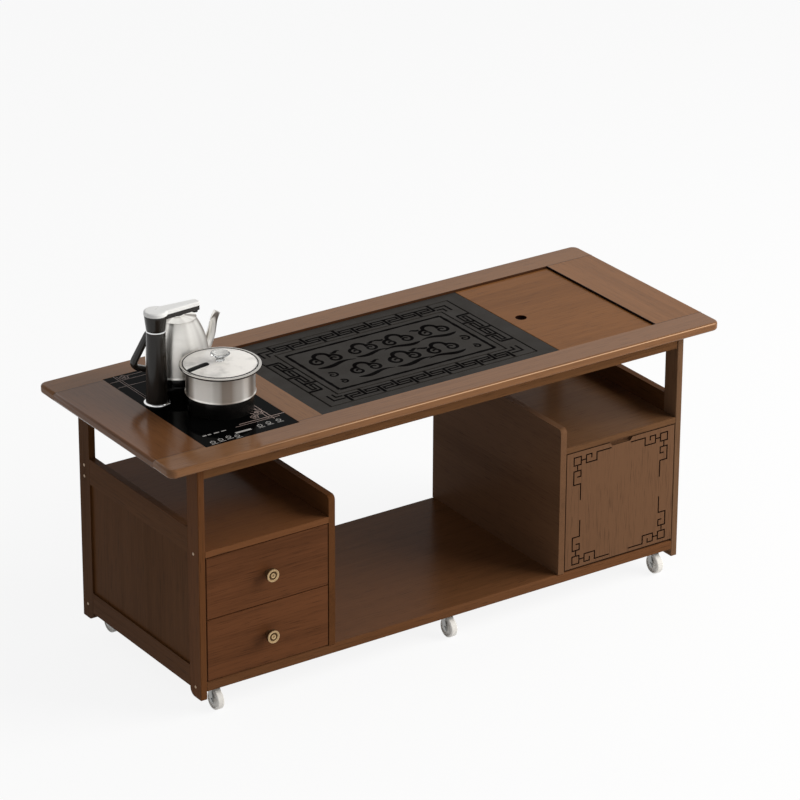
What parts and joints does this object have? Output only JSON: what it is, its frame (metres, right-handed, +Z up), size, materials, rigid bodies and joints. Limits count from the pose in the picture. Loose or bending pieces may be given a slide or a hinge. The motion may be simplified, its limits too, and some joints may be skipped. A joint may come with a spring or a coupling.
{
  "type": "gongfu tea table",
  "caption": "Low wheeled wooden tea table with an inset tray slab, lift-out board, built-in tea stove with kettle and pot, drawers and a carved flap door.",
  "frame": {"origin": "on the floor, under the middle of the table top", "axes": "+X along the table to the right of the person who faces its front, -Y out of the front, +Z up"},
  "size_m": [1.256, 0.48, 0.7167],
  "materials": {
    "top_wood": "satin lacquer",
    "frame_wood": "satin lacquer",
    "door_wood": "satin lacquer",
    "tray_board": "satin",
    "black_glass": "gloss",
    "casing_paint": "satin",
    "steel": "polished",
    "chrome_trim": "mirror",
    "black_plastic": "gloss",
    "silver_cap": "satin",
    "clear_glass": "gloss",
    "clear_knob": "gloss",
    "antique_brass": "antique",
    "castor_steel": "satin",
    "castor_nylon": "satin",
    "pin_steel": "plain",
    "drain_plastic": "matt"
  },
  "bodies": {
    "table": {"top_front_rail": "top_wood", "top_back_rail": "top_wood", "top_left_board": "top_wood", "top_right_board": "top_wood", "top_cross_strip": "top_wood", "front_left_stile": "frame_wood", "back_left_stile": "frame_wood", "front_right_stile": "frame_wood", "back_right_stile": "frame_wood", "side_frame_rails": "frame_wood", "side_panels": "frame_wood", "aprons": "frame_wood", "deck_board": "frame_wood", "left_divider": "frame_wood", "right_divider": "frame_wood", "left_shelf": "frame_wood", "right_shelf": "frame_wood", "cabinet_backs": "frame_wood", "drawer_runners": "frame_wood", "top_ledges": "frame_wood", "stove_glass": "black_glass", "stove_casing": "casing_paint", "kettle_seat": "black_plastic", "pot_seat": "black_plastic", "pump_column": "black_plastic", "pump_rings": "chrome_trim", "door_pivot_pins": "pin_steel", "castor_plates": "castor_steel"},
    "slab": {"tea_slab": "tray_board", "slab_drain": "drain_plastic"},
    "board": {"cover_board": "top_wood"},
    "pump_head": {"pump_arm": "black_plastic", "pump_cap": "silver_cap"},
    "kettle": {"kettle_foot": "black_plastic", "kettle_body": "steel", "kettle_handle": "black_plastic"},
    "kettle_cover": {"kettle_lid": "steel"},
    "pot": {"pot_body": "steel"},
    "pot_cover": {"pot_lid_ring": "steel", "pot_lid_glass": "clear_glass", "pot_lid_knob": "clear_knob"},
    "upper_drawer": {"upper_drawer_front": "door_wood", "upper_drawer_knob": "antique_brass", "upper_drawer_box": "frame_wood"},
    "lower_drawer": {"lower_drawer_front": "door_wood", "lower_drawer_knob": "antique_brass", "lower_drawer_box": "frame_wood"},
    "flap": {"flap_door": "door_wood"},
    "fork_front_left": {"castor_fork_front_left": "castor_steel"},
    "wheel_front_left": {"castor_wheel_front_left": "castor_nylon"},
    "fork_front_middle": {"castor_fork_front_middle": "castor_steel"},
    "wheel_front_middle": {"castor_wheel_front_middle": "castor_nylon"},
    "fork_front_right": {"castor_fork_front_right": "castor_steel"},
    "wheel_front_right": {"castor_wheel_front_right": "castor_nylon"},
    "fork_back_left": {"castor_fork_back_left": "castor_steel"},
    "wheel_back_left": {"castor_wheel_back_left": "castor_nylon"},
    "fork_back_middle": {"castor_fork_back_middle": "castor_steel"},
    "wheel_back_middle": {"castor_wheel_back_middle": "castor_nylon"},
    "fork_back_right": {"castor_fork_back_right": "castor_steel"},
    "wheel_back_right": {"castor_wheel_back_right": "castor_nylon"}
  },
  "joints": [
    {"name": "upper_drawer_slide", "type": "slide", "parent": "table", "child": "upper_drawer", "axis": [0, -1, 0], "range_m": [0, 0.28]},
    {"name": "lower_drawer_slide", "type": "slide", "parent": "table", "child": "lower_drawer", "axis": [0, -1, 0], "range_m": [0, 0.28]},
    {"name": "flap_hinge", "type": "hinge", "parent": "table", "child": "flap", "pos_m": [0.41025, -0.2095, 0.0775], "axis": [1, 0, 0], "range_deg": [0, 90]},
    {"name": "pump_swivel", "type": "hinge", "parent": "table", "child": "pump_head", "pos_m": [-0.487, 0.038, 0.7], "axis": [0, 0, 1], "range_deg": [-90, 120]},
    {"name": "slab_lift", "type": "slide", "parent": "table", "child": "slab", "axis": [0, 0, 1], "range_m": [0, 0.06]},
    {"name": "board_lift", "type": "slide", "parent": "table", "child": "board", "axis": [0, 0, 1], "range_m": [0, 0.06]},
    {"name": "kettle_lift", "type": "slide", "parent": "table", "child": "kettle", "axis": [0, 0.5, 0.866], "range_m": [0, 0.12]},
    {"name": "kettle_lid_lift", "type": "slide", "parent": "kettle", "child": "kettle_cover", "axis": [0, 0, 1], "range_m": [0, 0.06]},
    {"name": "pot_lift", "type": "slide", "parent": "table", "child": "pot", "axis": [0, -0.5, 0.866], "range_m": [0, 0.15]},
    {"name": "pot_lid_lift", "type": "slide", "parent": "pot", "child": "pot_cover", "axis": [0, 0, 1], "range_m": [0, 0.06]},
    {"name": "swivel_front_left", "type": "hinge", "parent": "table", "child": "fork_front_left", "pos_m": [-0.515, -0.19, 0.046], "axis": [0, 0, 1], "continuous": true},
    {"name": "roll_front_left", "type": "hinge", "parent": "fork_front_left", "child": "wheel_front_left", "pos_m": [-0.515, -0.2, 0.02], "axis": [1, 0, 0], "continuous": true},
    {"name": "swivel_front_middle", "type": "hinge", "parent": "table", "child": "fork_front_middle", "pos_m": [0.015, -0.19, 0.046], "axis": [0, 0, 1], "continuous": true},
    {"name": "roll_front_middle", "type": "hinge", "parent": "fork_front_middle", "child": "wheel_front_middle", "pos_m": [0.015, -0.2, 0.02], "axis": [1, 0, 0], "continuous": true},
    {"name": "swivel_front_right", "type": "hinge", "parent": "table", "child": "fork_front_right", "pos_m": [0.515, -0.19, 0.046], "axis": [0, 0, 1], "continuous": true},
    {"name": "roll_front_right", "type": "hinge", "parent": "fork_front_right", "child": "wheel_front_right", "pos_m": [0.515, -0.2, 0.02], "axis": [1, 0, 0], "continuous": true},
    {"name": "swivel_back_left", "type": "hinge", "parent": "table", "child": "fork_back_left", "pos_m": [-0.515, 0.19, 0.046], "axis": [0, 0, 1], "continuous": true},
    {"name": "roll_back_left", "type": "hinge", "parent": "fork_back_left", "child": "wheel_back_left", "pos_m": [-0.515, 0.18, 0.02], "axis": [1, 0, 0], "continuous": true},
    {"name": "swivel_back_middle", "type": "hinge", "parent": "table", "child": "fork_back_middle", "pos_m": [0.015, 0.19, 0.046], "axis": [0, 0, 1], "continuous": true},
    {"name": "roll_back_middle", "type": "hinge", "parent": "fork_back_middle", "child": "wheel_back_middle", "pos_m": [0.015, 0.18, 0.02], "axis": [1, 0, 0], "continuous": true},
    {"name": "swivel_back_right", "type": "hinge", "parent": "table", "child": "fork_back_right", "pos_m": [0.515, 0.19, 0.046], "axis": [0, 0, 1], "continuous": true},
    {"name": "roll_back_right", "type": "hinge", "parent": "fork_back_right", "child": "wheel_back_right", "pos_m": [0.515, 0.18, 0.02], "axis": [1, 0, 0], "continuous": true}
  ]
}
